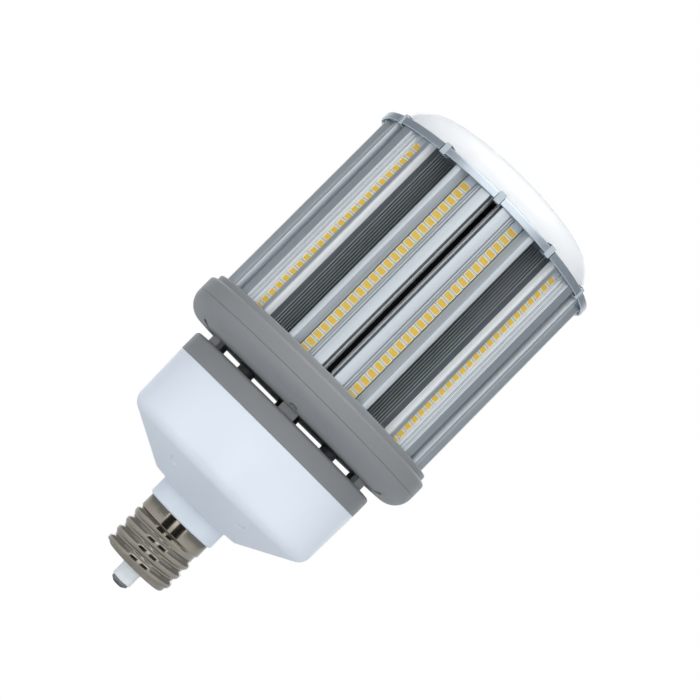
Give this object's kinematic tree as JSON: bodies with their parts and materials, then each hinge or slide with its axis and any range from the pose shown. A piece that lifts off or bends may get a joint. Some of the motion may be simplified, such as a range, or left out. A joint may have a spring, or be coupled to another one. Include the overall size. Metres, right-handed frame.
{
  "type": "led corn lamp bulb",
  "caption": "Tall LED lamp bulb with a screw base, a white driver cup, a grey vented collar, finned LED columns and a domed lens.",
  "frame": {"origin": "tip of the centre contact, on the lamp's axis", "axes": "+Z along the lamp from its screw base to its dome; a gap between two LED columns faces -Y"},
  "size_m": [0.1494, 0.1494, 0.288],
  "materials": {
    "nickel": "nickel-plated brass, bright",
    "contact": "dull grey metal",
    "insulator": "white, moulded",
    "white_housing": "white, satin moulded",
    "grey_plastic": "mid grey, fine moulded texture",
    "heat_sink": "extruded, clear anodised",
    "led_board": "aluminium-core board, white mask",
    "led_chip": "yellow phosphor in a white frame",
    "end_plate": "formed sheet, blue-grey finish",
    "dome": "frosted translucent white",
    "wire_tube": "dark moulded tube",
    "circuit_board": "green solder mask",
    "transformer": "taped winding on a ferrite core",
    "capacitor": "black sleeve",
    "choke": "enamelled winding",
    "lead": "red insulated wire",
    "cable": "black sheath",
    "screw": "zinc-plated"
  },
  "bodies": {
    "root": {"centre_contact": "contact", "contact_insulator": "insulator", "screw_shell": "nickel", "driver_housing": "white_housing", "housing_cover": "grey_plastic", "collar_lower": "grey_plastic", "collar_upper": "grey_plastic", "end_plate": "end_plate", "dome_lens": "dome", "top_led_board": "led_board", "top_led_chips": "led_chip", "wire_tube": "wire_tube", "driver_board": "circuit_board", "driver_transformer": "transformer", "driver_choke": "choke", "driver_capacitors": "capacitor", "live_lead": "lead", "neutral_lead": "lead", "output_cable": "cable", "driver_screws": "screw", "housing_screws": "screw", "collar_screws": "screw", "foot_screws": "screw", "end_plate_screws": "screw", "heat_sink_01": "heat_sink", "led_board_01": "led_board", "led_chips_01": "led_chip", "heat_sink_02": "heat_sink", "led_board_02": "led_board", "led_chips_02": "led_chip", "heat_sink_03": "heat_sink", "led_board_03": "led_board", "led_chips_03": "led_chip", "heat_sink_04": "heat_sink", "led_board_04": "led_board", "led_chips_04": "led_chip", "heat_sink_05": "heat_sink", "led_board_05": "led_board", "led_chips_05": "led_chip", "heat_sink_06": "heat_sink", "led_board_06": "led_board", "led_chips_06": "led_chip", "heat_sink_07": "heat_sink", "led_board_07": "led_board", "led_chips_07": "led_chip", "heat_sink_08": "heat_sink", "led_board_08": "led_board", "led_chips_08": "led_chip", "heat_sink_09": "heat_sink", "led_board_09": "led_board", "led_chips_09": "led_chip", "heat_sink_10": "heat_sink", "led_board_10": "led_board", "led_chips_10": "led_chip", "heat_sink_11": "heat_sink", "led_board_11": "led_board", "led_chips_11": "led_chip", "heat_sink_12": "heat_sink", "led_board_12": "led_board", "led_chips_12": "led_chip"}
  },
  "joints": []
}
